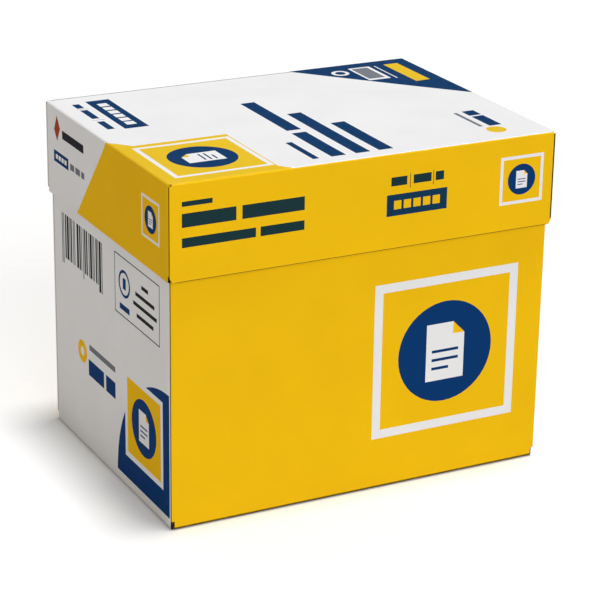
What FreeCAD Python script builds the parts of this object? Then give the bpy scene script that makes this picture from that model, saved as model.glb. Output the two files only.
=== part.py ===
import FreeCAD, Part
import os
import Sketcher
from FreeCAD import Placement, Rotation, Vector

# Carton of five A4 paper reams: a tray and a telescoping lid, each one folded and glued sheet of board.
# Origin at the middle of the carton's underside, +X along the long side, the front wall faces -Y.

# Driving sizes in millimetres
SIZES = [
    ("paper_length", 297.0, "long side of a sheet of paper"),
    ("paper_width", 210.0, "short side of a sheet of paper"),
    ("paper_stack", 50.7, "height of the sheets in one ream"),
    ("wrapper", 0.15, "thickness of a ream's wrapper"),
    ("wrap_radius", 1.2, "rounding of the wrapper over the long edges of the stack"),
    ("flap_reach", 30.0, "height of each flap folded over an end of a ream"),
    ("flap_inset", 24.0, "distance from a flap's free edge to the ream's sides"),
    ("flap_build", 0.3, "thickness that each folded flap adds to an end"),
    ("ream_count", 5, "reams in the stack"),
    ("board", 1.6, "thickness of the corrugated board"),
    ("end_slack", 1.0, "space from a ream's end to the tray's side wall"),
    ("side_slack", 1.8, "space from a ream's side to the tray's glue tabs"),
    ("head_room", 1.8, "space from the top ream to the tray's rim"),
    ("lid_clearance", 0.1, "space from the tray to the rounding of the lid's inner creases, all round"),
    ("lid_depth", 71.0, "height of the lid's outside"),
    ("fold_radius", 2.6, "outer rounding of the folds round the floor and round the lid's top"),
    ("crease_radius", 0.5, "inner rounding of every fold"),
    ("panel_setback", 0.4, "distance from a front wall's cut edge to the side wall's face"),
    ("tray_tab_length", 62.0, "length of the tray's glue tabs"),
    ("lid_tab_length", 48.0, "length of the lid's glue tabs"),
    ("tab_slope", 8.0, "height lost at the top and at the bottom of a tab's free end"),
    ("tab_drop", 2.5, "space from a rim to its glue tabs"),
    ("tray_tab_rise", 7.4, "space from the tray's floor to its glue tabs"),
    ("lid_tab_rise", 1.6, "space from the inside of the lid's top to its glue tabs"),
    ("tray_notch_height", 7.0, "height of the relief cut where the tray's corner folds meet"),
    ("tray_notch_reach", 1.1, "distance that this cut goes in past the side wall"),
    ("lid_notch_height", 2.4, "height of the relief cut where the lid's corner folds meet"),
    ("lid_notch_reach", 0.4, "distance that this cut goes in past the side wall"),
    ("rim_trim_height", 4.5, "height cut off the free corners of a front wall"),
    ("rim_trim_width", 2.4, "width cut off those corners"),
]

# Outer sizes that follow from the driving sizes
REAM_LENGTH = "(Sizes.paper_length + 2 * Sizes.wrapper)"
REAM_WIDTH = "(Sizes.paper_width + 2 * Sizes.wrapper)"
REAM_HEIGHT = "(Sizes.paper_stack + 2 * Sizes.wrapper)"
REAM_ENDS = "(4 * Sizes.flap_build)"
TRAY_LENGTH = f"({REAM_LENGTH} + {REAM_ENDS} + 2 * Sizes.end_slack + 2 * Sizes.board)"
TRAY_WIDTH = f"({REAM_WIDTH} + 2 * Sizes.side_slack + 4 * Sizes.board)"
TRAY_HEIGHT = f"(Sizes.board + Sizes.ream_count * {REAM_HEIGHT} + Sizes.head_room)"
LID_SPACE = "(Sizes.lid_clearance + Sizes.crease_radius)"
LID_LENGTH = f"({TRAY_LENGTH} + 2 * {LID_SPACE} + 2 * Sizes.board)"
LID_WIDTH = f"({TRAY_WIDTH} + 2 * {LID_SPACE} + 4 * Sizes.board)"
TOTAL_HEIGHT = f"({TRAY_HEIGHT} + Sizes.board)"

# Geometry closer than this is in one place
NEAR = 0.001
# Where the middle of a quarter circle lies, as a share of its radius along each axis
QUARTER_MIDDLE = 0.5 ** 0.5
# Signs of the two ends along X, and of the two long walls along Y
ENDS = (-1, 1)
WALLS = (-1, 1)


def add_sizes(doc):
    """Spreadsheet with a plain number for each driving size."""
    sheet = doc.addObject("Spreadsheet::Sheet", "Sizes")
    for row, (alias, size, meaning) in enumerate(SIZES, start=1):
        sheet.set(f"A{row}", alias)
        sheet.set(f"B{row}", str(size))
        sheet.setAlias(f"B{row}", alias)
        sheet.set(f"C{row}", meaning)
    doc.recompute()
    return sheet


def add_body(doc, label):
    """Empty body of one sub-part."""
    body = doc.addObject("PartDesign::Body", label)
    body.Label = label
    return body


def add_sketch(body, name, plane, lift="0"):
    """Sketch on an origin plane of the body, lifted off it along the plane's normal."""
    sketch = body.newObject("Sketcher::SketchObject", f"{body.Name}_{name}")
    support = next(item for item in body.Origin.OriginFeatures if item.Role == plane)
    sketch.AttachmentSupport = [(support, "")]
    sketch.MapMode = "FlatFace"
    sketch.setExpression("AttachmentOffset.Base.z", lift)
    return sketch


def number(sketch, expression):
    """Present value of an expression."""
    return float(sketch.evalExpression(expression))


def bind(sketch, constraint, expression):
    """Add a constraint whose size follows an expression."""
    sketch.setExpression(f"Constraints[{sketch.addConstraint(constraint)}]", expression)


def add_quarter_circle(sketch, start, end, radius):
    """Quarter circle from start to end, round the point beside both; gives its side and its two ends."""
    centre = Vector(start.x, end.y, 0)
    middle = centre + (start - centre + end - centre) * QUARTER_MIDDLE
    side = sketch.addGeometry(Part.Arc(start, middle, end), False)
    bind(sketch, Sketcher.Constraint("Radius", side, number(sketch, radius)), radius)
    if (sketch.getPoint(side, 1) - start).Length > NEAR:
        return side, 2, 1
    return side, 1, 2


def add_line(sketch, start, end):
    """Straight side from start to end; gives its side and its two ends."""
    return sketch.addGeometry(Part.LineSegment(start, end), False), 1, 2


def draw_outline(sketch, corners, last_radius=None):
    """Closed outline through corners, each a pair of expressions; the last side may be a quarter circle."""
    places = [Vector(number(sketch, across), number(sketch, up), 0) for across, up in corners]
    sides = [add_line(sketch, start, end) for start, end in zip(places, places[1:])]
    if last_radius is None:
        sides.append(add_line(sketch, places[-1], places[0]))
    else:
        sides.append(add_quarter_circle(sketch, places[-1], places[0], last_radius))
    for (side, _, end), (following, start, _) in zip(sides, sides[1:] + sides[:1]):
        sketch.addConstraint(Sketcher.Constraint("Coincident", side, end, following, start))
    for (side, start, _), (across, up) in zip(sides, corners):
        tie_point(sketch, side, start, "DistanceX", across)
        tie_point(sketch, side, start, "DistanceY", up)


def tie_point(sketch, side, end, direction, distance):
    """Tie one end of a side to its distance from the sketch's origin."""
    bind(sketch, Sketcher.Constraint(direction, -1, 1, side, end, number(sketch, distance)), distance)


def mirrored(corners, across_sign, up_sign=1):
    """The same outline on another side of the origin."""
    return [(f"{across_sign} * ({across})", f"{up_sign} * ({up})") for across, up in corners]


def rectangle(length, width):
    """Corners of a rectangle round the origin."""
    return [(f"-({length}) / 2", f"-({width}) / 2"), (f"({length}) / 2", f"-({width}) / 2"),
            (f"({length}) / 2", f"({width}) / 2"), (f"-({length}) / 2", f"({width}) / 2")]


def add_extrusion(kind, body, sketch, length, against_default=False):
    """Pad or Pocket of a sketch. A pad goes along the sketch's normal by default, and a pocket against it."""
    feature = body.newObject(f"PartDesign::{kind}", f"{sketch.Name}_{kind.lower()}")
    feature.Profile = sketch
    feature.setExpression("Length", length)
    feature.Reversed = against_default
    body.Document.recompute()


def add_fillet(body, name, radius, wanted):
    """Fillet on the edges of the body's last feature that wanted picks by their box."""
    tip = body.Tip
    edges = [f"Edge{place}" for place, edge in enumerate(tip.Shape.Edges, start=1) if wanted(edge.BoundBox)]
    fillet = body.newObject("PartDesign::Fillet", f"{body.Name}_{name}")
    fillet.Base = (tip, edges)
    fillet.setExpression("Radius", radius)
    body.Document.recompute()


def is_at(box, height):
    """Whether an edge lies flat at a height."""
    return abs(box.ZMin - height) < NEAR and abs(box.ZMax - height) < NEAR


# Tray and lid: the lid is the same folded sheet upside down, so both are drawn with the panel below

def add_folded_sheet(doc, label, length, width, height, tab_length, tab_rise, notch):
    """Open box of board: a panel, four walls and the side walls' tabs behind the front and back walls.

    tab_rise is measured from the panel's inside, and notch gives the relief cut's reach past the side wall's
    inside and its height over the panel's outside.
    """
    body = add_body(doc, label)
    add_panel_and_walls(body, length, width, height)
    add_glue_tabs(body, length, width, height, tab_length, tab_rise)
    cut_corner_folds(body, length, width, height)
    cut_wall_corners(body, length, width, height, notch)
    return body


def add_panel_and_walls(body, length, width, height):
    """Panel and four walls of one board's thickness, with rounded folds between them."""
    outside = add_sketch(body, "outside", "XY_Plane")
    draw_outline(outside, rectangle(length, width))
    add_extrusion("Pad", body, outside, height)
    add_fillet(body, "folds", "Sizes.fold_radius", lambda box: is_at(box, 0))
    inside = add_sketch(body, "inside", "XY_Plane", height)
    draw_outline(inside, rectangle(f"{length} - 2 * Sizes.board", f"{width} - 2 * Sizes.board"))
    add_extrusion("Pocket", body, inside, f"{height} - Sizes.board")
    board = number(inside, "Sizes.board")
    half_length = number(inside, f"{length} / 2 - Sizes.board")
    add_fillet(body, "creases", "Sizes.crease_radius",
               lambda box: is_at(box, board) and abs(box.XMax) < half_length + NEAR)


def add_glue_tabs(body, length, width, height, tab_length, tab_rise):
    """Tabs with sloped edges, one board thick, glued behind the front and back walls."""
    root = f"{length} / 2 - Sizes.board"
    bottom = f"Sizes.board + {tab_rise}"
    top = f"{height} - Sizes.tab_drop"
    tab = [(root, bottom), (root, top),
           (f"{root} - {tab_length}", f"{top} - Sizes.tab_slope"),
           (f"{root} - {tab_length}", f"{bottom} + Sizes.tab_slope")]
    for wall in WALLS:
        name = "front_tabs" if wall < 0 else "back_tabs"
        sketch = add_sketch(body, name, "XZ_Plane", f"{-wall} * ({width} / 2 - 2 * Sizes.board)")
        for end in ENDS:
            draw_outline(sketch, mirrored(tab, end))
        add_extrusion("Pad", body, sketch, "Sizes.board", against_default=wall > 0)
    corner = Vector(number(sketch, root), number(sketch, f"{width} / 2 - 2 * Sizes.board"), 0)
    add_fillet(body, "tab_creases", "Sizes.crease_radius", lambda box: is_upright_at(box, corner))


def is_upright_at(box, corner):
    """Whether an upright edge stands at a corner or at one of its mirror images."""
    across = max(abs(abs(box.XMin) - corner.x), abs(abs(box.XMax) - corner.x))
    along = max(abs(abs(box.YMin) - corner.y), abs(abs(box.YMax) - corner.y))
    return across < NEAR and along < NEAR and box.ZLength > NEAR


def cut_corner_folds(body, length, width, height):
    """Round the side walls where they fold into their tabs, behind the cut edges of the front and back."""
    radius = "(Sizes.board + Sizes.crease_radius)"
    groove = [(f"{length} / 2", f"{width} / 2 - Sizes.board - {radius}"),
              (f"{length} / 2", f"{width} / 2"),
              (f"{length} / 2 - Sizes.panel_setback", f"{width} / 2"),
              (f"{length} / 2 - Sizes.panel_setback", f"{width} / 2 - Sizes.board"),
              (f"{length} / 2 - {radius}", f"{width} / 2 - Sizes.board")]
    sketch = add_sketch(body, "corner_grooves", "XY_Plane", height)
    for end in ENDS:
        for wall in WALLS:
            draw_outline(sketch, mirrored(groove, end, wall), last_radius=radius)
    add_extrusion("Pocket", body, sketch, height)


def cut_wall_corners(body, length, width, height, notch):
    """Relief cuts at the folded corners of the front and back walls, and trimmed corners at their rim."""
    notch_reach, notch_height = notch
    notch_end = f"{length} / 2 - Sizes.board - {notch_reach}"
    relief = [(notch_end, "0"), (f"{length} / 2", "0"), (f"{length} / 2", notch_height),
              (notch_end, notch_height)]
    trim = [(f"{length} / 2", f"{height} - Sizes.rim_trim_height"), (f"{length} / 2", height),
            (f"{length} / 2 - Sizes.rim_trim_width", height)]
    for wall in WALLS:
        name = "front_corners" if wall < 0 else "back_corners"
        sketch = add_sketch(body, name, "XZ_Plane", f"{-wall} * {width} / 2")
        for end in ENDS:
            draw_outline(sketch, mirrored(relief, end))
            draw_outline(sketch, mirrored(trim, end))
        add_extrusion("Pocket", body, sketch, "Sizes.board", against_default=wall > 0)


def add_tray(doc):
    """Tray that stands on the floor and holds the reams."""
    notch = ("Sizes.tray_notch_reach", "Sizes.tray_notch_height")
    return add_folded_sheet(doc, "carton_base", TRAY_LENGTH, TRAY_WIDTH, TRAY_HEIGHT,
                            "Sizes.tray_tab_length", "Sizes.tray_tab_rise", notch)


def add_lid(doc):
    """Lid that slides down over the tray until its top rests on the rim."""
    notch = ("Sizes.lid_notch_reach", "Sizes.lid_notch_height")
    lid = add_folded_sheet(doc, "carton_lid", LID_LENGTH, LID_WIDTH, "Sizes.lid_depth",
                           "Sizes.lid_tab_length", "Sizes.lid_tab_rise", notch)
    lid.Placement = Placement(Vector(0, 0, 0), Rotation(Vector(1, 0, 0), 180))
    lid.setExpression("Placement.Base.z", TOTAL_HEIGHT)
    return lid


# Reams

def add_ream(doc, place):
    """Wrapped ream of paper, place reams above the tray's floor."""
    body = add_body(doc, f"ream_{place + 1}")
    stack = add_sketch(body, "stack", "XY_Plane")
    draw_outline(stack, rectangle(REAM_LENGTH, REAM_WIDTH))
    add_extrusion("Pad", body, stack, REAM_HEIGHT)
    half_width = number(stack, f"{REAM_WIDTH} / 2")
    add_fillet(body, "wrap", "Sizes.wrap_radius", lambda box: is_long_edge(box, half_width))
    add_end_flaps(body)
    body.setExpression("Placement.Base.z", f"Sizes.board + {place} * {REAM_HEIGHT}")
    return body


def is_long_edge(box, half_width):
    """Whether an edge runs along the ream's sides."""
    return box.YLength < NEAR and box.ZLength < NEAR and abs(abs(box.YMin) - half_width) < NEAR


def add_end_flaps(body):
    """Lower flap folded up over each end of the ream, and the upper flap folded down over it."""
    half_root = f"({REAM_WIDTH} / 2 - Sizes.wrap_radius)"
    half_tip = f"({REAM_WIDTH} / 2 - Sizes.flap_inset)"
    lower = [(f"-{half_root}", "Sizes.wrap_radius"), (half_root, "Sizes.wrap_radius"),
             (half_tip, "Sizes.flap_reach"), (f"-{half_tip}", "Sizes.flap_reach")]
    upper = [(across, f"{REAM_HEIGHT} - {up}") for across, up in lower]
    for end in ENDS:
        for name, flap, layers in (("lower_flap", lower, 1), ("upper_flap", upper, 2)):
            side = "left" if end < 0 else "right"
            sketch = add_sketch(body, f"{side}_{name}", "YZ_Plane", f"{end} * {REAM_LENGTH} / 2")
            draw_outline(sketch, flap)
            add_extrusion("Pad", body, sketch, f"{layers} * Sizes.flap_build", against_default=end < 0)


# Checks and files

def check_document(doc):
    """Stop at any failed object, any pad that adds nothing and any pocket that cuts nothing."""
    for item in doc.Objects:
        if "Invalid" in item.State or "Error" in item.State:
            raise RuntimeError(f"{item.Label} failed: {item.State}")
        if item.TypeId in ("PartDesign::Pad", "PartDesign::Pocket") and item.BaseFeature is not None:
            growth = item.Shape.Volume - item.BaseFeature.Shape.Volume
            if item.TypeId == "PartDesign::Pocket":
                growth = -growth
            if growth <= 0:
                raise RuntimeError(f"{item.Label} leaves the solid as it was")


def export_parts(sub_parts):
    """Write each sub-part's one solid to its own file."""
    os.makedirs("parts", exist_ok=True)
    for body in sub_parts:
        shape = body.Shape
        if shape.isNull() or not shape.isValid() or len(shape.Solids) != 1:
            raise RuntimeError(f"{body.Label} isn't one valid solid")
    for body in sub_parts:
        body.Shape.exportStep(f"parts/{body.Label}.step")


def main():
    doc = FreeCAD.newDocument("PaperCarton")
    sheet = add_sizes(doc)
    sub_parts = [add_tray(doc), add_lid(doc)]
    for place in range(int(sheet.ream_count)):
        sub_parts.append(add_ream(doc, place))
    doc.recompute()
    check_document(doc)
    export_parts(sub_parts)
    for body in sub_parts:
        box = body.Shape.BoundBox
        print(body.Label, round(body.Shape.Volume), [round(size, 3) for size in (
            box.XMin, box.YMin, box.ZMin, box.XMax, box.YMax, box.ZMax)])


main()
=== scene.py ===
"""A carton of paper reams: a printed tray, a printed lift-off lid and five wrapped reams inside."""
import math

import bmesh
import bpy
from mathutils import Matrix, Vector, noise


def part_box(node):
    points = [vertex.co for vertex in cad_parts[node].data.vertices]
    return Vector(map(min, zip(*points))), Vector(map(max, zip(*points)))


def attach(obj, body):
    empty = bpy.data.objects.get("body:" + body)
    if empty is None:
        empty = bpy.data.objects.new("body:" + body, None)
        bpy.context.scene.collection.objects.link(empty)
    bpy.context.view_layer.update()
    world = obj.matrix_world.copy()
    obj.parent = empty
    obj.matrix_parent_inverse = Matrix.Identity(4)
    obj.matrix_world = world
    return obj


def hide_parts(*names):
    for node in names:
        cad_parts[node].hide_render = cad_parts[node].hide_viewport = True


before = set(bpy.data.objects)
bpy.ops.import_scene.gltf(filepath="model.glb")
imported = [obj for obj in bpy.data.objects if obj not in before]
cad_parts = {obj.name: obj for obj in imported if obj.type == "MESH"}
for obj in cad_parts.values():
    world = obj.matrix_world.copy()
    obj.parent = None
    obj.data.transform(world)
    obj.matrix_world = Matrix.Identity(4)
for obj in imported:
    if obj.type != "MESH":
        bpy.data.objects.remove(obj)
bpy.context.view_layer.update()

MM = 0.001
FULL_TURN = 2 * math.pi

# The boards as the frame was built, in millimetres. A board's flat panel is the tray's bottom or the
# lid's top. The long walls' corners are cut away by RIM_TRIM at the rim and CUT_HEIGHT at the flat panel.
BOARD = 1.6
FOLD_RADIUS = 2.6
RIM_TRIM = 4.5
CUT_HEIGHT = {"bottom": 7.0, "top": 2.4}

# Painted shade lines on the lid, in millimetres: where each lies, and how wide it is. They are the shadow
# under its lower rim, the shade at one end of each long wall, and the shade on the back fold of its top
LID_RIM = 189.0
RIM_SHADOW_LINE = 0.4
LID_END = 153.7
LID_FOLD = 257.5
END_SHADE_LINE = 1.2
LID_REAR = 111.2
REAR_SHADE_LINE = 1.0

# Cut edges, flutes and folds as they are drawn, in millimetres. Beside the cut corners the short walls
# carry near-black painted shade as far in as CUT_SHADOW at the flat panel and CORNER_REACH at the rim.
LINER = 0.28
RECESS = 1.1
RECESS_SLOPE = 0.01
FLUTE_PITCH = 3.3
FLUTE_PAPER = 0.2
FLUTE_TUCK = 0.12
FLUTE_PLAY = 0.02
FLUTE_INSET = 7.0
FOLD_LOOK = 1.6
CORNER_REACH = 2.75
CUT_SHADOW = {"bottom": 2.2, "top": 1.4}

# How many straight steps draw one flute
FLUTE_STEPS = 14

# How finely the sheets are cut up, in millimetres: coarsely before print, then finely for the waves
GRID_COARSE = 24.0
GRID_ALONG = 6.0
GRID_UP = 12.0
WRAPPER_GRID = 12.0

# Points nearer than this are one, in metres, and faces that turn less than this are flat, in radians
SAME_POINT = 1e-6
SAME_CUT = 2e-6
FLAT_ANGLE = 0.002

# Margins in millimetres, and the smallest cut edge that is opened, in square millimetres
TOUCH = 0.1
SKIN_DEEP = 0.05
NEARLY = 0.01
PAST_EDGE = 1.0
WALL_DEPTH = 2 * BOARD + FOLD_RADIUS
WRAPPER_DEPTH = 1.0
SLIVER = 12.0

# Cosines of the angle between a face's normal and its panel's, and how far an upright face may tilt
FLAT_FACING = 0.999
SHARED_FOLD_FACING = 0.70
OWN_FOLD_FACING = 0.03
INNER_FACING = -0.3
UPRIGHT_TILT = 0.02

# Gentle unevenness, all of it inwards, in millimetres
BASE_WAVE = 0.55
LID_WAVE = 0.3
WRAPPER_WAVE = 0.5
FOLD_CRUSH = 0.2
WAVE_LENGTH = 95.0
CRUSH_LENGTH = 13.0
WRAPPER_LENGTH = 34.0
CALM_EDGE = 22.0

# How a fold's dents deepen halfway round it, and how much of them lies along each panel's normal
HALFWAY_GAIN = 1.42
DENT_SHARE = 0.7

# Places in the noise that are far enough apart to give each wall and sheet its own unevenness
WALL_APART = 7.3
CRUSH_APART = 5.1
LID_TOP_PLACE = 31.7
WRAPPER_PLACE = 3.0

# Painted contact shade at the tray's foot and wear on the folds, 0 to 1, and how far they reach, in
# millimetres
FOOT_FADE = 0.9
LONG_FOOT_SHADE = 0.86
SHORT_FOOT_SHADE = 0.35
FOLD_WEAR = 0.12
WEAR_REACH = 1.2 * FOLD_RADIUS

# Shading stays smooth where faces meet at less than this many degrees
BOARD_CREASE = 32
FLUTE_CREASE = 50

# Colours as they look in plain light, 0 to 255
YELLOW = (248, 195, 20)
WHITE = (240, 240, 241)
NAVY = (13, 57, 112)
BLACK = (38, 38, 44)
GREY = (120, 124, 132)
TERRACOTTA = (168, 70, 44)
KRAFT = (178, 141, 99)
KRAFT_EDGE = (150, 112, 72)
KRAFT_SPECK = (96, 66, 40)
SCUFF = (228, 222, 208)
OVERPRINT = (30, 56, 60)
LABEL_NAVY = (22, 58, 87)
# Copies of yellow and navy for the lid's top, toned down as painted shade for the stronger light there
TOP_YELLOW = (234, 194, 44)
TOP_NAVY = (6, 53, 97)
# Kraft darkened as painted shade: the upright corner seams, and the shadow line under the lid's rim
SEAM_SHADE_BROWN = (112, 78, 30)
# Near black: painted shade in the relief cuts and beside the cut corners
CUT_SHADE_DARK = (30, 24, 20)

# The floor's half width in metres, the light that floor and room give, and what the camera sees instead
FLOOR_SIZE = 12.0
FLOOR_BOUNCE = (0.65, 0.65, 0.65, 1)
FLOOR_LIFT = 0.05
ROOM_LIGHT = 0.22
ROOM_TINT = (1.0, 0.99, 0.98, 1)
SEEN_WHITE = (1, 1, 1, 1)

# Lamps: strength, then spread, height and turn to the right in degrees, then tint
LAMP_TINT = (0.99, 1.0, 1.01)
WARM_TINT = (1.1, 0.86, 0.55)
LAMPS = {
    "overhead": (0.62, 13, 83.8, 66, LAMP_TINT),
    "front": (0.535, 60, 14, 6, LAMP_TINT),
    "left": (0.1, 60, 12, -85, WARM_TINT),
}

# The camera, with its place in millimetres and its far limit in metres
LENS = 136.97
SENSOR = 36.0
FAR_LIMIT = 50.0
CAMERA_PLACE = Vector((-745.1, -1446.55, 731.19))
CAMERA_AHEAD = Vector((0.4306, 0.8299, -0.3547))
CAMERA_RIGHT = Vector((0.8902, -0.4553, 0.0152))

# Each panel's outward, rightward and upward directions, as seen from outside
PANELS = {
    "front": (Vector((0, -1, 0)), Vector((1, 0, 0)), Vector((0, 0, 1))),
    "back": (Vector((0, 1, 0)), Vector((-1, 0, 0)), Vector((0, 0, 1))),
    "left": (Vector((-1, 0, 0)), Vector((0, -1, 0)), Vector((0, 0, 1))),
    "right": (Vector((1, 0, 0)), Vector((0, 1, 0)), Vector((0, 0, 1))),
    "top": (Vector((0, 0, 1)), Vector((1, 0, 0)), Vector((0, 1, 0))),
    "bottom": (Vector((0, 0, -1)), Vector((-1, 0, 0)), Vector((0, 1, 0))),
}
WALLS = ("front", "back", "left", "right")
LONG_WALLS = ("front", "back")
SHORT_WALLS = ("left", "right")


# Materials

def linear(colour):
    """A 0 to 255 colour as Blender's linear colour with full alpha."""
    steps = [c / 255 for c in colour]
    return [s / 12.92 if s <= 0.04045 else ((s + 0.055) / 1.055) ** 2.4 for s in steps] + [1.0]


def socket_of(sockets, identifier):
    """The socket with this identifier, where several share a name."""
    return next(s for s in sockets if s.identifier == identifier)


class Nodes:
    """Short calls for building a material's node tree."""

    def __init__(self, name):
        self.material = bpy.data.materials.new(name)
        self.material.use_nodes = True
        self.tree = self.material.node_tree
        self.shader = self.tree.nodes["Principled BSDF"]
        self.place = self.add("ShaderNodeTexCoord")

    def add(self, kind, **settings):
        """A new node with these settings."""
        node = self.tree.nodes.new(kind)
        for key, value in settings.items():
            setattr(node, key, value)
        return node

    def feed(self, socket, value):
        """Gives an input another node's output, or a plain value."""
        if isinstance(value, bpy.types.NodeSocket):
            self.tree.links.new(value, socket)
        else:
            socket.default_value = value

    def noise(self, scale, detail=2.0, roughness=0.5, stretch=None):
        """Noise with this many features a metre, or in each direction what stretch makes of them."""
        node = self.add("ShaderNodeTexNoise")
        place = self.place.outputs["Object"]
        if stretch:
            mapping = self.add("ShaderNodeMapping")
            mapping.inputs["Scale"].default_value = stretch
            self.feed(mapping.inputs["Vector"], place)
            place = mapping.outputs["Vector"]
        self.feed(node.inputs["Vector"], place)
        node.inputs["Scale"].default_value = scale
        node.inputs["Detail"].default_value = detail
        node.inputs["Roughness"].default_value = roughness
        return node.outputs["Fac"]

    def span(self, value, low, high, start=0.0, end=1.0):
        """value, from start to end, stretched to run from low to high."""
        node = self.add("ShaderNodeMapRange")
        self.feed(node.inputs["Value"], value)
        node.inputs["From Min"].default_value = start
        node.inputs["From Max"].default_value = end
        node.inputs["To Min"].default_value = low
        node.inputs["To Max"].default_value = high
        return node.outputs["Result"]

    def varied(self, low, high, **grain):
        """Noise whose middle values run from low to high."""
        return self.span(self.noise(**grain), low, high, start=0.3, end=0.7)

    def attribute(self, name):
        """What Skin.mark stored at each point under this name."""
        return self.add("ShaderNodeAttribute", attribute_name=name).outputs["Fac"]

    def compute(self, operation, first, second=0.0):
        """One sum with one or two terms."""
        node = self.add("ShaderNodeMath", operation=operation)
        self.feed(node.inputs[0], first)
        self.feed(node.inputs[1], second)
        return node.outputs["Value"]

    def times(self, first, *others):
        """The product of all that is given."""
        for other in others:
            first = self.compute("MULTIPLY", first, other)
        return first

    def mix(self, amount, first, second):
        """The first colour where amount is 0, and the second where it is 1."""
        node = self.add("ShaderNodeMix", data_type="RGBA")
        self.feed(node.inputs["Factor"], amount)
        self.feed(socket_of(node.inputs, "A_Color"), first)
        self.feed(socket_of(node.inputs, "B_Color"), second)
        return socket_of(node.outputs, "Result_Color")

    def shade(self, colour, value):
        """colour made lighter or darker by value."""
        node = self.add("ShaderNodeVectorMath", operation="SCALE")
        self.feed(node.inputs[0], linear(colour)[:3])
        self.feed(node.inputs["Scale"], value)
        return node.outputs["Vector"]

    def bump(self, height, depth, below=None):
        """height, 0 to 1, as relief of this many millimetres, over another relief."""
        node = self.add("ShaderNodeBump")
        node.inputs["Strength"].default_value = 1.0
        node.inputs["Distance"].default_value = depth * MM
        self.feed(node.inputs["Height"], height)
        if below:
            self.feed(node.inputs["Normal"], below)
        return node.outputs["Normal"]

    def flutes(self):
        """The corrugation under the skin, 0 to 1: across X, and up the short walls."""
        spot = self.add("ShaderNodeSeparateXYZ")
        self.feed(spot.inputs["Vector"], self.place.outputs["Object"])
        facing = self.add("ShaderNodeSeparateXYZ")
        self.feed(facing.inputs["Vector"], self.place.outputs["Normal"])
        short_wall = self.compute("GREATER_THAN", self.compute("ABSOLUTE", facing.outputs["X"]), 0.7)
        along = self.times(spot.outputs["Z"], short_wall)
        across = self.times(spot.outputs["X"], self.compute("SUBTRACT", 1.0, short_wall))
        turn = self.times(self.compute("ADD", along, across), FULL_TURN / (FLUTE_PITCH * MM))
        return self.span(self.compute("SINE", turn), 0.0, 1.0, start=-1.0)

    def complete(self, colour, roughness, normal, specular):
        """Feeds the shader and gives the finished material."""
        self.feed(self.shader.inputs["Base Color"], colour)
        self.feed(self.shader.inputs["Roughness"], roughness)
        self.feed(self.shader.inputs["Normal"], normal)
        self.shader.inputs["Specular IOR Level"].default_value = specular
        return self.material


def printed_board(name, colour):
    """Ink on a coated liner: faint clouds, fine grain, a trace of the flutes, scuffs on the folds,
    painted shade at the foot.
    """
    n = Nodes(name)
    clouds = n.varied(0.975, 1.02, scale=22, detail=3)
    grain = n.varied(0.985, 1.012, scale=1500)
    washboard = n.flutes()
    # Painted contact shade at the tray's foot darkens the ink
    unshaded = n.span(n.attribute("foot_shade"), 1.0, 0.0)
    ink = n.shade(colour, n.times(clouds, grain, n.span(washboard, 0.997, 1.002), unshaded))
    patches = n.span(n.noise(scale=420, detail=4, roughness=0.7), 0.0, 1.0, start=0.5, end=0.68)
    scuffed = n.mix(n.times(n.attribute("worn"), patches), ink, linear(SCUFF))
    sheen = n.varied(0.5, 0.62, scale=160, detail=3)
    relief = n.bump(n.noise(scale=900, detail=3), 0.03, below=n.bump(washboard, 0.009))
    return n.complete(scuffed, sheen, relief, specular=0.01)


def raw_kraft(name, colour, fibre=1.0):
    """Unprinted brown liner, with fibres along the machine direction."""
    n = Nodes(name)
    clouds = n.varied(0.9, 1.07, scale=45, detail=4)
    lanes = {"scale": 1, "detail": 5, "roughness": 0.75, "stretch": (350, 2600, 2600)}
    strands = n.varied(1 - 0.16 * fibre, 1 + 0.1 * fibre, **lanes)
    washboard = n.flutes()
    paper = n.shade(colour, n.times(clouds, strands, n.span(washboard, 0.97, 1.01)))
    specks = n.span(n.noise(scale=2400, detail=1), 0.0, 1.0, start=0.68, end=0.76)
    speckled = n.mix(n.times(specks, 0.45), paper, linear(KRAFT_SPECK))
    sheen = n.varied(0.78, 0.92, scale=300)
    relief = n.bump(n.noise(scale=1300, detail=4, roughness=0.7), 0.07, below=n.bump(washboard, 0.05))
    return n.complete(speckled, sheen, relief, specular=0.1)


def wrapper_paper(name, colour):
    """Glossy coated wrapping paper, lightly creased."""
    n = Nodes(name)
    clouds = n.varied(0.98, 1.015, scale=30, detail=3)
    grain = n.varied(0.988, 1.01, scale=1800)
    paper = n.shade(colour, n.times(clouds, grain))
    sheen = n.varied(0.3, 0.42, scale=90, detail=3)
    creases = n.bump(n.noise(scale=55, detail=5, roughness=0.65), 0.4)
    relief = n.bump(n.noise(scale=1600), 0.02, below=creases)
    return n.complete(paper, sheen, relief, specular=0.45)


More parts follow.
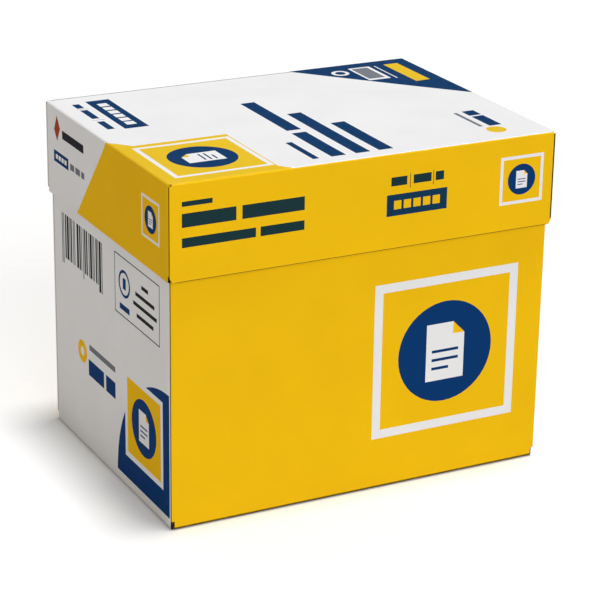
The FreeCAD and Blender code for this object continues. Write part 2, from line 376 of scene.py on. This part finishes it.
BOARD_INKS = {
    "yellow": printed_board("yellow_ink", YELLOW),
    "white": printed_board("white_liner", WHITE),
    "navy": printed_board("navy_ink", NAVY),
    "black": printed_board("black_ink", BLACK),
    "grey": printed_board("grey_ink", GREY),
    "terracotta": printed_board("terracotta_ink", TERRACOTTA),
    "overprint": printed_board("navy_over_yellow_ink", OVERPRINT),
    "label_navy": printed_board("navy_label_ink", LABEL_NAVY),
    "top_yellow": printed_board("yellow_ink_shaded_for_top", TOP_YELLOW),
    "top_navy": printed_board("navy_ink_shaded_for_top", TOP_NAVY),
    "gap": printed_board("painted_shade_in_cuts", CUT_SHADE_DARK),
    "seam": raw_kraft("kraft_seam_with_painted_shade", SEAM_SHADE_BROWN),
    "kraft": raw_kraft("kraft_liner", KRAFT),
    "edge": raw_kraft("kraft_cut_edge", KRAFT_EDGE, fibre=1.6),
}
WRAPPER_INKS = {
    "white": wrapper_paper("wrapper_white", WHITE),
    "yellow": wrapper_paper("wrapper_yellow", YELLOW),
    "navy": wrapper_paper("wrapper_navy", NAVY),
}


# Outlines for print, in millimetres on a panel seen from outside

def polygon(*corners):
    """An outline through these corners, counter-clockwise."""
    return [Vector(corner) for corner in corners]


def rectangle(left, bottom, right, top):
    """An upright rectangle between these edges."""
    return polygon((left, bottom), (right, bottom), (right, top), (left, top))


def centred(middle, width, height):
    """An upright rectangle about its middle."""
    x, y = middle
    return rectangle(x - width / 2, y - height / 2, x + width / 2, y + height / 2)


def disc(middle, radius, points, start=0.0, end=FULL_TURN):
    """A disc, or the arc of one from start to end in radians."""
    full = math.isclose(end - start, FULL_TURN)
    steps = points if full else points + 1
    angles = [start + (end - start) * i / points for i in range(steps)]
    return [Vector(middle) + radius * Vector((math.cos(a), math.sin(a))) for a in angles]


def spun(outline, middle, turn):
    """An outline drawn about 0, 0, turned and put in its place."""
    c, s = math.cos(turn), math.sin(turn)
    return [Vector((middle[0] + c * p.x - s * p.y, middle[1] + s * p.x + c * p.y)) for p in outline]


# Sheets

class Skin:
    """One folded sheet while it is cut, inked and dented. Sizes given to it are in millimetres."""

    def __init__(self, node, inks, panels):
        self.inks = list(inks)
        self.materials = inks
        low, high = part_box(node)
        self.low, self.high = low / MM, high / MM
        self.panels = {name: [] for name in panels}
        bm = bmesh.new()
        bm.from_mesh(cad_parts[node].data)
        bmesh.ops.remove_doubles(bm, verts=bm.verts, dist=SAME_POINT)
        bmesh.ops.dissolve_limit(bm, angle_limit=FLAT_ANGLE, verts=bm.verts, edges=bm.edges)
        bm.normal_update()
        self.bm = bm

    def depth(self, spot, name):
        """How far a spot lies behind the plane of a panel."""
        normal = PANELS[name][0]
        face = self.high if max(normal) > 0 else self.low
        return normal.dot(face - spot)

    def nearest(self, spot, names):
        """How far a spot lies behind the nearest of these panels."""
        return min(self.depth(spot, name) for name in names)

    def middle(self, face):
        """The middle of a face, in millimetres."""
        return face.calc_center_median() / MM

    def is_outer(self, face, name):
        """On the panel's flat or on its share of a fold.

        Upright folds belong to the short walls, and the folds at the foot to the walls.
        """
        facing = face.normal.dot(PANELS[name][0])
        behind = self.depth(self.middle(face), name)
        if facing > FLAT_FACING:
            return behind < TOUCH
        if abs(face.normal.z) < UPRIGHT_TILT:
            return name in SHORT_WALLS and facing > OWN_FOLD_FACING and behind < FOLD_RADIUS
        if face.normal.z < 0:
            return name in WALLS and facing > OWN_FOLD_FACING and behind < FOLD_RADIUS
        return facing > SHARED_FOLD_FACING and behind < FOLD_RADIUS

    def is_inner(self, face, name):
        """Facing into the box, and no deeper than a wall with its tabs."""
        behind = self.depth(self.middle(face), name)
        return face.normal.dot(PANELS[name][0]) < INNER_FACING and behind < WALL_DEPTH

    def ink_of(self, face):
        """The name of the ink that a face has."""
        return self.inks[face.material_index]

    def paint(self, face, ink):
        """Gives a face the ink of this name."""
        face.material_index = self.inks.index(ink)

    def change_inks(self, name, changes):
        """Gives a panel's faces other inks, by the ones they have."""
        for face in self.panels[name]:
            ink = self.ink_of(face)
            self.paint(face, changes.get(ink, ink))

    def cut_grid(self, steps):
        """Cuts the whole sheet by planes this far apart along X, Y and Z."""
        for axis, step in enumerate(steps):
            normal = Vector((0, 0, 0))
            normal[axis] = 1.0
            first = math.ceil(self.low[axis] / step)
            last = math.floor(self.high[axis] / step)
            for i in range(first, last + 1):
                everything = self.bm.verts[:] + self.bm.edges[:] + self.bm.faces[:]
                spot = normal * (i * step * MM)
                bmesh.ops.bisect_plane(
                    self.bm, geom=everything, dist=SAME_POINT, plane_co=spot, plane_no=normal
                )
        self.bm.normal_update()

    def sort_faces(self):
        """Lists each panel's own outer faces, ready for print."""
        for name, faces in self.panels.items():
            faces.extend(f for f in self.bm.faces if self.is_outer(f, name))

    def faces_near(self, name, middle, reach):
        """A panel's faces whose centres lie within reach of a middle, seen from straight ahead."""
        normal, right, up = PANELS[name]
        centre = (right * middle.x + up * middle.y) * MM
        found = []
        for face in self.panels[name]:
            away = face.calc_center_median() - centre
            if (away - normal * away.dot(normal)).length < reach * MM:
                found.append(face)
        return found

    def stamp(self, name, outline, ink):
        """Cuts a convex outline into a panel's skin and inks what lies inside it."""
        right, up = PANELS[name][1:]
        middle = sum(outline, Vector((0, 0))) / len(outline)
        reach = max((p - middle).length for p in outline) + GRID_COARSE
        inside = self.faces_near(name, middle, reach)
        known = set(inside)
        for a, b in zip(outline, outline[1:] + outline[:1]):
            spot = (right * a.x + up * a.y) * MM
            outward = (right * (b.y - a.y) + up * (a.x - b.x)).normalized()
            edges = {e for f in inside for e in f.edges}
            verts = {v for f in inside for v in f.verts}
            touched = inside + list(edges) + list(verts)
            cut = bmesh.ops.bisect_plane(
                self.bm, geom=touched, dist=SAME_CUT, plane_co=spot, plane_no=outward
            )
            found = [g for g in cut["geom"] if isinstance(g, bmesh.types.BMFace)]
            fresh = [f for f in found if f not in known]
            known.update(fresh)
            self.panels[name].extend(fresh)
            inside = [f for f in found if (f.calc_center_median() - spot).dot(outward) < 0]
        for face in inside:
            self.paint(face, ink)

    def move(self, shift):
        """Moves every point by shift(spot), all in millimetres."""
        for vert in self.bm.verts:
            vert.co += shift(vert.co / MM) * MM

    def mark(self, name, amount):
        """Stores how worn each point is, or how much painted shade it takes, 0 to 1."""
        layer = self.bm.verts.layers.float.new(name)
        for vert in self.bm.verts:
            vert[layer] = amount(vert.co / MM)

    def finish(self, name, body, node):
        """Turns the sheet into the scene's piece, on its body and in its node's place."""
        mesh = mesh_of(self.bm, name)
        for ink in self.inks:
            mesh.materials.append(self.materials[ink])
        smooth_up_to(mesh, BOARD_CREASE)
        piece = new_object(name, mesh)
        shading = piece.modifiers.new("flat_panels_stay_flat", "WEIGHTED_NORMAL")
        shading.mode = "FACE_AREA"
        shading.weight = 100
        shading.keep_sharp = True
        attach(piece, body)
        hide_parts(node)


def mesh_of(bm, name):
    """A mesh made from bm, which is freed."""
    mesh = bpy.data.meshes.new(name)
    bm.to_mesh(mesh)
    bm.free()
    return mesh


def smooth_up_to(mesh, degrees):
    """Smooth shading, with sharp edges where faces meet at more than this angle."""
    mesh.shade_smooth()
    mesh.set_sharp_from_angle(angle=math.radians(degrees))


def new_object(name, data):
    """An object with this data, linked to the scene."""
    thing = bpy.data.objects.new(name, data)
    bpy.context.scene.collection.objects.link(thing)
    return thing


# Generic print

def row_of_bars(skin, panel, start, height, lengths, ink, gap=0.0, turn=0.0):
    """Plain bars in a row, where a line of print would be. start is the row's lower left corner."""
    along = 0.0
    for length in lengths:
        skin.stamp(panel, spun(rectangle(along, 0, along + length, height), start, turn), ink)
        along += length + gap


def page_badge(skin, panel, middle, side, border, turn=0.0):
    """A framed square that holds a disc with a sheet of paper on it."""

    def stamp(outline, ink):
        skin.stamp(panel, spun(outline, middle, turn), ink)

    inner = side - 2 * border
    page_width, page_height = 0.3 * inner, 0.42 * inner
    right, top = page_width / 2, page_height / 2
    ear = 0.3 * page_width
    fold_x, fold_y = right - ear, top - ear
    stamp(centred((0, 0), side, side), "white")
    stamp(centred((0, 0), inner, inner), "yellow")
    stamp(disc((0, 0), 0.37 * inner, points=48), "navy")
    stamp(polygon((-right, -top), (right, -top), (right, fold_y), (fold_x, top), (-right, top)), "white")
    stamp(polygon((fold_x, fold_y), (right, fold_y), (fold_x, top)), "yellow")
    for i, share in enumerate((0.7, 0.7, 0.45)):
        left = -0.7 * right
        low = -0.62 * top + (2 - i) * 0.3 * top
        stamp(rectangle(left, low, left + share * page_width, low + 0.1 * top), "navy")


def striped_label(skin, panel, corner, width, height, marks, ink, ground="navy", turn=0.0):
    """A label with a row of plain marks on it."""
    skin.stamp(panel, spun(rectangle(0, 0, width, height), corner, turn), ground)
    margin = 0.1 * width
    step = (width - 2 * margin) / marks
    for i in range(marks):
        left = margin + (i + 0.12) * step
        box = rectangle(left, 0.3 * height, left + 0.76 * step, 0.7 * height)
        skin.stamp(panel, spun(box, corner, turn), ink)


def split_line(skin, panel, corner, width, height, ink, turn=0.0):
    """Three short bars with thin rules between them."""
    half_rule = 0.25
    for start, share in ((0.0, 0.3), (0.42, 0.34), (0.84, 0.16)):
        box = rectangle(start * width, 0.25 * height, (start + share) * width, 0.85 * height)
        skin.stamp(panel, spun(box, corner, turn), ink)
    for place in (0.36, 0.8):
        rule = rectangle(place * width - half_rule, 0, place * width + half_rule, height)
        skin.stamp(panel, spun(rule, corner, turn), ink)


def bar_pattern(skin, panel, corner, width, height, ink):
    """Upright bars of uneven width, as on any packed goods, a few of them longer."""
    widths = (1, 1, 2, 3, 1, 2, 1, 1, 3, 2, 1, 1, 2, 2, 1, 3, 1, 1, 2, 1, 3, 1)
    gaps = (1, 2, 1, 1, 1, 2, 1, 3, 1, 1, 2, 1, 1, 2, 1, 1, 1, 2, 1, 1, 1, 0)
    long_bars = (0, 1, 11, 20, 21)
    longer = 5
    module = width / 60
    left, bottom = corner
    place = 0
    for i, (wide, gap) in enumerate(zip(widths, gaps)):
        low = bottom - longer if i in long_bars else bottom
        start = left + place * module
        end = left + (place + wide) * module
        skin.stamp(panel, rectangle(start, low, end, bottom + height), ink)
        place += wide + gap


def outlined_box(skin, panel, left, bottom, right, top, line, ink, ground):
    """A rectangle with a thin outline."""
    skin.stamp(panel, rectangle(left, bottom, right, top), ink)
    skin.stamp(panel, rectangle(left + line, bottom + line, right - line, top - line), ground)


# What is printed where: across from the panel's middle, and up from the floor or the top's middle

def print_base_long_wall(skin, panel):
    """The tray's front, and its back alike: one large badge on plain yellow."""
    page_badge(skin, panel, middle=(69.6, 100.5), side=120.6, border=6.8)


def print_base_short_wall(skin, panel):
    """The tray's sides: a bar pattern, two rings with bars, one in a box, and a corner badge."""
    bar_pattern(skin, panel, corner=(-91.5, 143), width=74.5, height=35, ink="black")
    outlined_box(skin, panel, 11.3, 134, 92, 180, line=0.9, ink="black", ground="white")
    skin.stamp(panel, disc((29, 160), 10.5, points=24), "navy")
    skin.stamp(panel, disc((29, 160), 8.3, points=24), "white")
    skin.stamp(panel, centred((29, 160), 5.5, 8.5), "navy")
    skin.stamp(panel, rectangle(20, 139, 38, 143.5), "navy")
    for i, width in enumerate((12, 34, 42, 30)):
        skin.stamp(panel, centred((66, 168 - 8 * i), width, 3), "black")
    skin.stamp(panel, disc((-54, 78), 9, points=28), "yellow")
    skin.stamp(panel, disc((-54, 78), 3.6, points=20), "white")
    row_of_bars(skin, panel, (-40, 84), 4.5, (50,), "grey")
    row_of_bars(skin, panel, (-42, 63), 13, (30, 18), "navy", gap=4)
    corner = (107.3, 8.5)
    arc = disc(corner, 94.8, points=36, start=math.pi / 2, end=math.pi)
    skin.stamp(panel, polygon(corner) + arc, "navy")
    page_badge(skin, panel, middle=(62, 60), side=68, border=4.2)


def print_lid_long_wall(skin, panel):
    """The lid's front, and its back alike: bars, a label, a badge, and painted shade lines at the rim and
    one end.
    """
    row_of_bars(skin, panel, (-144.5, 243), 3.6, (23,), "overprint")
    row_of_bars(skin, panel, (-144.5, 228), 10, (41, 48), "overprint", gap=4.5)
    row_of_bars(skin, panel, (-144.5, 213.5), 7, (56, 34), "overprint", gap=3.5)
    split_line(skin, panel, (17.5, 233), 43, 11, "overprint")
    # Painted shadow under the lid's lower rim, in the seam's darkened kraft
    skin.stamp(panel, rectangle(-150, LID_RIM - PAST_EDGE, 150, LID_RIM + RIM_SHADOW_LINE), "seam")
    # Painted shade at this end, where the short wall's fold lies in shadow
    skin.stamp(panel, rectangle(LID_END - END_SHADE_LINE, LID_RIM + RIM_TRIM, LID_END, LID_FOLD), "gap")
    striped_label(skin, panel, (14.3, 213.5), 49.3, 16, 5, "yellow", ground="label_navy")
    page_badge(skin, panel, middle=(126.3, 227), side=36.5, border=2.4)


def print_lid_short_wall(skin, panel):
    """The lid's sides: a slanted yellow field, and small marks and bars on the white beside it."""
    skin.stamp(panel, polygon((-54.5, 188), (160, 188), (160, 262), (7.2, 262)), "yellow")
    skin.stamp(panel, polygon((-97, 242), (-91.5, 234), (-85, 245), (-91, 254)), "terracotta")
    row_of_bars(skin, panel, (-81, 238.5), 6.5, (42,), "black")
    striped_label(skin, panel, (-98.5, 217), 29, 9, 4, "white")
    row_of_bars(skin, panel, (-66, 218.8), 5, (8, 9, 6), "grey", gap=2.4)
    page_badge(skin, panel, middle=(82.3, 225.5), side=31, border=2.0)


def print_lid_top(skin):
    """The lid's print reads from the front edge towards the back, so its rows are turned a quarter."""
    turn = math.pi / 2
    # A grey line on the back fold: painted shade where the fold turns away from the light
    skin.stamp("top", rectangle(-151, LID_REAR - REAR_SHADE_LINE, 151, LID_REAR), "grey")
    skin.stamp("top", rectangle(-160, -120, -68, -22), "yellow")
    skin.stamp("top", polygon((-160, -22), (-141, -22), (-160, -0.5)), "yellow")
    skin.stamp("top", polygon((-68, -106), (-68, -120), (-54, -120)), "yellow")
    page_badge(skin, "top", middle=(-106.5, -65), side=75, border=3.6, turn=turn)
    striped_label(skin, "top", (-109.8, 20), 77, 19, 6, "white", turn=turn)
    split_line(skin, "top", (-133, 23), 70, 9.5, "navy", turn=turn)
    row_of_bars(skin, "top", (-34, -102), 5, (43,), "navy", turn=turn)
    row_of_bars(skin, "top", (-13, -102), 11.5, (62, 78), "navy", gap=7, turn=turn)
    row_of_bars(skin, "top", (6.5, -102), 11.5, (108,), "navy", turn=turn)
    row_of_bars(skin, "top", (25, -102), 11.5, (74,), "navy", turn=turn)
    skin.stamp("top", polygon((45, 118), (160, -7.2), (160, 118)), "navy")
    skin.stamp("top", rectangle(129.5, 48, 142, 101), "yellow")
    skin.stamp("top", rectangle(97, 64, 116, 101), "white")
    skin.stamp("top", rectangle(99, 68, 113, 98.5), "grey")
    skin.stamp("top", rectangle(120, 62, 121.2, 100), "white")
    skin.stamp("top", disc((85.5, 91.5), 7.2, points=28), "white")
    skin.stamp("top", disc((85.5, 91.5), 4.2, points=20), "navy")
    skin.stamp("top", disc((116.5, -92), 7.5, points=24), "yellow")
    row_of_bars(skin, "top", (112, -81), 3, (38,), "grey", turn=turn)
    row_of_bars(skin, "top", (127, -82), 10, (26, 12), "navy", gap=2.5, turn=turn)
    # The top's yellow and navy become copies toned down as painted shade for the top's stronger light
    skin.change_inks("top", {"yellow": "top_yellow", "navy": "top_navy"})


def print_ream(skin):
    """Plain bands and a badge on the wrapper."""
    skin.stamp("top", polygon((-160, -120), (-62, -120), (-118, 120), (-160, 120)), "yellow")
    skin.stamp("top", rectangle(96, -120, 160, 120), "navy")
    page_badge(skin, "top", middle=(18, 0), side=88, border=4.4, turn=math.pi / 2)
    low, high = skin.low.z - PAST_EDGE, skin.high.z + PAST_EDGE
    for panel in LONG_WALLS:
        side = 1 if panel == "front" else -1
        for ends, ink in (((-160, -90), "yellow"), ((96, 160), "navy")):
            left, right = sorted(side * end for end in ends)
            skin.stamp(panel, rectangle(left, low, right, high), ink)


# Unevenness, wear and painted shade at the foot

def ease(share):
    """0 to 1, softly, held at both ends."""
    t = min(max(share, 0.0), 1.0)
    return t * t * (3 - 2 * t)


def ripple(spot, length, place):
    """Smooth unevenness, 0 to 1, that changes over this length."""
    return 0.5 + 0.5 * noise.noise(spot / length + Vector((place, place, place)))


def wall_wave(skin, spot, height, flat_panel):
    """How a spot on a wall bows in: not at all at the folds, freely at the open rim."""
    shift = Vector((0, 0, 0))
    for i, name in enumerate(WALLS):
        normal, right, _ = PANELS[name]
        if skin.depth(spot, name) < WALL_DEPTH:
            to_end = abs(right.dot(skin.high)) - abs(right.dot(spot))
            calm = ease(to_end / CALM_EDGE) * ease(skin.depth(spot, flat_panel) / CALM_EDGE)
            shift -= normal * height * calm * ripple(spot, WAVE_LENGTH, WALL_APART * i)
    return shift


def lid_top_wave(skin, spot):
    """The lid's flat top sinks a little away from its folds."""
    if skin.depth(spot, "top") > BOARD + TOUCH:
        return Vector((0, 0, 0))
    calm = ease(skin.nearest(spot, WALLS) / (2 * CALM_EDGE))
    return Vector((0, 0, -LID_WAVE * calm * ripple(spot, WAVE_LENGTH, LID_TOP_PLACE)))


def wrapper_slack(skin, spot):
    """The wrapper's walls lie loosely against the paper."""
    shift = Vector((0, 0, 0))
    for name in WALLS:
        if skin.depth(spot, name) < WRAPPER_DEPTH:
            shift -= PANELS[name][0] * WRAPPER_WAVE * ripple(spot, WRAPPER_LENGTH, WRAPPER_PLACE)
    return shift


def fold_corner(skin, spot, name, flat_panel):
    """How far out a spot lies from the centre of a fold, along the wall's normal and the flat's."""
    return Vector((FOLD_RADIUS - skin.depth(spot, name), FOLD_RADIUS - skin.depth(spot, flat_panel)))


def fold_crush(skin, spot, flat_panel):
    """Small dents along the outside of the folds, deepest halfway round them."""
    shift = Vector((0, 0, 0))
    for i, name in enumerate(WALLS):
        corner = fold_corner(skin, spot, name, flat_panel)
        if min(corner) > -NEARLY and corner.length > FOLD_RADIUS - 0.5 * BOARD:
            halfway = min(corner) / FOLD_RADIUS * HALFWAY_GAIN
            rough = noise.noise(spot / CRUSH_LENGTH + Vector((CRUSH_APART * i, 0, 0)))
            dent = FOLD_CRUSH * halfway * max(0.0, rough)
            shift -= (PANELS[name][0] + PANELS[flat_panel][0]) * dent * DENT_SHARE
    return shift


def tight_fold(skin, spot, flat_panel):
    """Brings the outside of the flat panel's folds to FOLD_LOOK, a sharper radius."""
    shift = Vector((0, 0, 0))
    for name in WALLS:
        corner = fold_corner(skin, spot, name, flat_panel)
        if min(corner) > -NEARLY and abs(corner.length - FOLD_RADIUS) < SKIN_DEEP:
            drawn = (FOLD_RADIUS - FOLD_LOOK) * (Vector((1, 1)) - corner.normalized())
            shift += PANELS[name][0] * drawn.x + PANELS[flat_panel][0] * drawn.y
    return shift


def fold_wear(skin, spot, flat_panel):
    """How scuffed a spot is: a little, at the outer corner of the folds round the flat panel."""
    inwards = skin.nearest(spot, WALLS) + skin.depth(spot, flat_panel)
    return FOLD_WEAR * ease(1 - inwards / WEAR_REACH)


def painted_foot_shade(skin, spot):
    """Painted contact shade, 0 to 1, where the tray's folds meet what it stands on: most under the long
    walls.
    """
    long_wall = skin.nearest(spot, LONG_WALLS)
    short_wall = skin.nearest(spot, SHORT_WALLS)
    if min(long_wall, short_wall) > FOLD_RADIUS + TOUCH:
        return 0.0
    darkest = LONG_FOOT_SHADE if long_wall < short_wall else SHORT_FOOT_SHADE
    return darkest * ease((FOLD_RADIUS - spot.z) / FOOT_FADE)


# Folded boards

def cut_edge_ink(skin, face, flat_panel):
    """Brown on the open rims, darker with painted shade or white down the seams, near-black painted shade
    in the relief cuts.
    """
    spot = skin.middle(face)
    if skin.nearest(spot, SHORT_WALLS) > CORNER_REACH or skin.nearest(spot, LONG_WALLS) > BOARD:
        return "edge"
    down = skin.depth(spot, flat_panel)
    to_rim = skin.high.z - skin.low.z - down
    # Cut edges in the relief cuts and at the trimmed rim corners take near-black painted shade
    if down < CUT_HEIGHT[flat_panel] + TOUCH or to_rim < RIM_TRIM + TOUCH:
        return "gap"
    # Two corners' upright cut edges take kraft darkened as painted shade; the other two are white
    return "seam" if spot.x * spot.y > 0 else "white"


def colour_blank(skin, flat_panel):
    """Inks every face by its place: printed outside, brown inside, brown on the cut edges."""
    outside = dict.fromkeys(LONG_WALLS, "yellow")
    outside.update(dict.fromkeys(SHORT_WALLS + (flat_panel,), "white"))
    for face in skin.bm.faces:
        outer = [name for name in outside if skin.is_outer(face, name)]
        if outer:
            skin.paint(face, outside[outer[0]])
        elif any(skin.is_inner(face, name) for name in outside):
            skin.paint(face, "kraft")
        else:
            skin.paint(face, cut_edge_ink(skin, face, flat_panel))


def open_cut_edges(skin):
    """Sinks the core of each cut edge between its two liners."""
    cut = [f for f in skin.bm.faces if skin.ink_of(f) in ("edge", "seam", "gap")]
    edges = [f for f in cut if f.calc_area() > SLIVER * MM * MM]
    for thickness in (math.sqrt(2) * LINER, RECESS_SLOPE):
        bmesh.ops.inset_individual(
            skin.bm, faces=edges, thickness=thickness * MM, use_even_offset=False
        )
    for face in edges:
        sink = -face.normal * RECESS * MM
        for vert in face.verts:
            vert.co += sink


def darken_corner_cuts(skin, flat_panel):
    """The short walls' upright folds are in the dark where the long walls' corners are cut away."""
    flat, rim = (skin.low.z, skin.high.z) if flat_panel == "bottom" else (skin.high.z, skin.low.z)
    rise = 1 if rim > flat else -1
    spans = (
        (flat - rise * PAST_EDGE, flat + rise * CUT_HEIGHT[flat_panel], CUT_SHADOW[flat_panel]),
        (rim - rise * RIM_TRIM, rim + rise * PAST_EDGE, CORNER_REACH),
    )
    outer = skin.high.y + PAST_EDGE
    for panel in SHORT_WALLS:
        for side in (-1, 1):
            for start, end, reach in spans:
                left, right = sorted((side * (skin.high.y - reach), side * outer))
                skin.stamp(panel, rectangle(left, min(start, end), right, max(start, end)), "gap")


def folded_board(node, body, flat_panel, wave, long_print, short_print, flat_print=None):
    """One board of the carton, from its CAD node's own form."""
    skin = Skin(node, BOARD_INKS, WALLS + (flat_panel,))
    colour_blank(skin, flat_panel)
    open_cut_edges(skin)
    skin.cut_grid((GRID_COARSE, GRID_COARSE, GRID_COARSE))
    skin.sort_faces()
    for panel in LONG_WALLS:
        long_print(skin, panel)
    for panel in SHORT_WALLS:
        short_print(skin, panel)
    darken_corner_cuts(skin, flat_panel)
    if flat_print:
        flat_print(skin)
    skin.cut_grid((GRID_ALONG, GRID_ALONG, GRID_UP))
    skin.mark("worn", lambda spot: fold_wear(skin, spot, flat_panel))
    # Only the tray's foot takes painted contact shade
    skin.mark("foot_shade", lambda spot: painted_foot_shade(skin, spot) if flat_panel == "bottom" else 0.0)
    if flat_panel == "top":
        skin.move(lambda spot: tight_fold(skin, spot, flat_panel))
    skin.move(lambda spot: fold_crush(skin, spot, flat_panel))
    skin.move(lambda spot: wall_wave(skin, spot, wave, flat_panel))
    if flat_panel == "top":
        skin.move(lambda spot: lid_top_wave(skin, spot))
    skin.finish(node + "_board", body, node)


# Wrapped reams

def wrapped_ream(node):
    """One ream in its printed wrapper."""
    skin = Skin(node, WRAPPER_INKS, tuple(PANELS))
    for face in skin.bm.faces:
        skin.paint(face, "white")
    skin.cut_grid((GRID_COARSE, GRID_COARSE, GRID_COARSE))
    skin.sort_faces()
    print_ream(skin)
    skin.cut_grid((WRAPPER_GRID, WRAPPER_GRID, WRAPPER_GRID))
    skin.move(lambda spot: wrapper_slack(skin, spot))
    skin.finish(node + "_wrapper", "carton", node)


# The wavy paper between the liners, seen at the cut rims

def flute_strip(bm, start, end, across, level, depth):
    """A closed wavy strip along X, at across in Y, from level down by depth, in millimetres."""
    swing = BOARD / 2 - LINER - FLUTE_PAPER / 2 - FLUTE_PLAY
    steps = int((end - start) / FLUTE_PITCH * FLUTE_STEPS)
    rows = []
    for i in range(steps + 1):
        x = start + (end - start) * i / steps
        phase = FULL_TURN * x / FLUTE_PITCH
        slope = swing * FULL_TURN / FLUTE_PITCH * math.cos(phase)
        side = Vector((-slope, 1)).normalized() * FLUTE_PAPER / 2
        middle = Vector((x, across + swing * math.sin(phase)))
        corners = []
        for sign, z in ((-1, level), (1, level), (1, level - depth), (-1, level - depth)):
            spot = middle + sign * side
            corners.append(bm.verts.new(Vector((spot.x, spot.y, z)) * MM))
        rows.append(corners)
    for before, after in zip(rows, rows[1:]):
        for i in range(4):
            j = (i + 1) % 4
            bm.faces.new((before[i], before[j], after[j], after[i]))
    bm.faces.new(reversed(rows[0]))
    bm.faces.new(rows[-1])


def rim_flutes(name, node, body, rises):
    """The flutes in the rims of the long walls. rises is 1 for an upper rim, and -1 for a lower one."""
    low, high = (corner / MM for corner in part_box(node))
    reach = high.x - FLUTE_INSET
    rim = high.z if rises > 0 else low.z
    depth = RECESS - FLUTE_TUCK - FLUTE_PLAY
    bm = bmesh.new()
    for across in (low.y + BOARD / 2, high.y - BOARD / 2):
        flute_strip(bm, -reach, reach, across, rim - rises * FLUTE_TUCK, rises * depth)
    bmesh.ops.recalc_face_normals(bm, faces=bm.faces)
    mesh = mesh_of(bm, name)
    mesh.materials.append(BOARD_INKS["edge"])
    smooth_up_to(mesh, FLUTE_CREASE)
    piece = new_object(name, mesh)
    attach(piece, body)


# Stage, light and camera

def seen_directly(tree):
    """1 for camera, glossy and transmission rays, and 0 for light that bounces."""
    path = tree.nodes.new("ShaderNodeLightPath")
    total = path.outputs["Is Camera Ray"]
    for kind in ("Is Glossy Ray", "Is Transmission Ray"):
        add = tree.nodes.new("ShaderNodeMath")
        add.operation = "MAXIMUM"
        tree.links.new(total, add.inputs[0])
        tree.links.new(path.outputs[kind], add.inputs[1])
        total = add.outputs["Value"]
    return total


def white_if_seen(tree, seen, otherwise):
    """White where seen is 1, and another colour where it is 0."""
    colour = tree.nodes.new("ShaderNodeMix")
    colour.data_type = "RGBA"
    socket_of(colour.inputs, "A_Color").default_value = otherwise
    socket_of(colour.inputs, "B_Color").default_value = SEEN_WHITE
    tree.links.new(seen, colour.inputs["Factor"])
    return socket_of(colour.outputs, "Result_Color")


def stage_floor():
    """A pale floor that shows white to the camera and keeps the carton's shadow."""
    bm = bmesh.new()
    bmesh.ops.create_grid(bm, x_segments=2, y_segments=2, size=FLOOR_SIZE)
    floor = new_object("floor", mesh_of(bm, "floor"))
    material = bpy.data.materials.new("pale_floor")
    material.use_nodes = True
    tree = material.node_tree
    shader = tree.nodes["Principled BSDF"]
    shader.inputs["Roughness"].default_value = 0.9
    shader.inputs["Specular IOR Level"].default_value = 0.0
    shader.inputs["Emission Color"].default_value = SEEN_WHITE
    seen = seen_directly(tree)
    tree.links.new(white_if_seen(tree, seen, FLOOR_BOUNCE), shader.inputs["Base Color"])
    lift = tree.nodes.new("ShaderNodeMath")
    lift.operation = "MULTIPLY"
    lift.inputs[1].default_value = FLOOR_LIFT
    tree.links.new(seen, lift.inputs[0])
    tree.links.new(lift.outputs["Value"], shader.inputs["Emission Strength"])
    floor.data.materials.append(material)


def stage_world():
    """A softly lit room that shows white to the camera."""
    world = bpy.data.worlds.new("soft_room")
    bpy.context.scene.world = world
    world.use_nodes = True
    tree = world.node_tree
    background = tree.nodes["Background"]
    strength = tree.nodes.new("ShaderNodeMapRange")
    strength.inputs["To Min"].default_value = ROOM_LIGHT
    strength.inputs["To Max"].default_value = 1.0
    seen = seen_directly(tree)
    tree.links.new(seen, strength.inputs["Value"])
    tree.links.new(strength.outputs["Result"], background.inputs["Strength"])
    tree.links.new(white_if_seen(tree, seen, ROOM_TINT), background.inputs["Color"])


def stage_lamp(name, strength, spread, height, side, tint):
    """A broad soft light, this high above the floor and this far to the right, in degrees."""
    lamp = bpy.data.lights.new(name, "SUN")
    lamp.energy = strength * math.pi
    lamp.angle = math.radians(spread)
    lamp.color = tint
    holder = new_object(name, lamp)
    up, turn = math.radians(height), math.radians(side)
    towards = Vector((math.cos(up) * math.sin(turn), -math.cos(up) * math.cos(turn), math.sin(up)))
    holder.rotation_euler = towards.to_track_quat("Z", "Y").to_euler()


def stage_camera():
    """The photograph's viewpoint: in front, to the left and above, with the lens centred."""
    camera = bpy.data.cameras.new("camera")
    camera.lens = LENS
    camera.sensor_width = SENSOR
    camera.clip_end = FAR_LIMIT
    view = new_object("camera", camera)
    back = -CAMERA_AHEAD.normalized()
    up = back.cross(CAMERA_RIGHT.normalized()).normalized()
    turn = Matrix((up.cross(back), up, back)).transposed()
    view.matrix_world = Matrix.Translation(CAMERA_PLACE * MM) @ turn.to_4x4()
    bpy.context.scene.camera = view


def main():
    """Builds the carton, its reams and the studio."""
    folded_board("carton_base", "carton", "bottom", BASE_WAVE,
                 print_base_long_wall, print_base_short_wall)
    folded_board("carton_lid", "lid", "top", LID_WAVE,
                 print_lid_long_wall, print_lid_short_wall, print_lid_top)
    rim_flutes("base_rim_flutes", "carton_base", "carton", 1)
    rim_flutes("lid_rim_flutes", "carton_lid", "lid", -1)
    for node in sorted(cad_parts):
        if node.startswith("ream_"):
            wrapped_ream(node)
    stage_floor()
    stage_world()
    for name, lamp in LAMPS.items():
        stage_lamp(name, *lamp)
    stage_camera()
    bpy.context.scene.view_settings.view_transform = "Standard"


main()
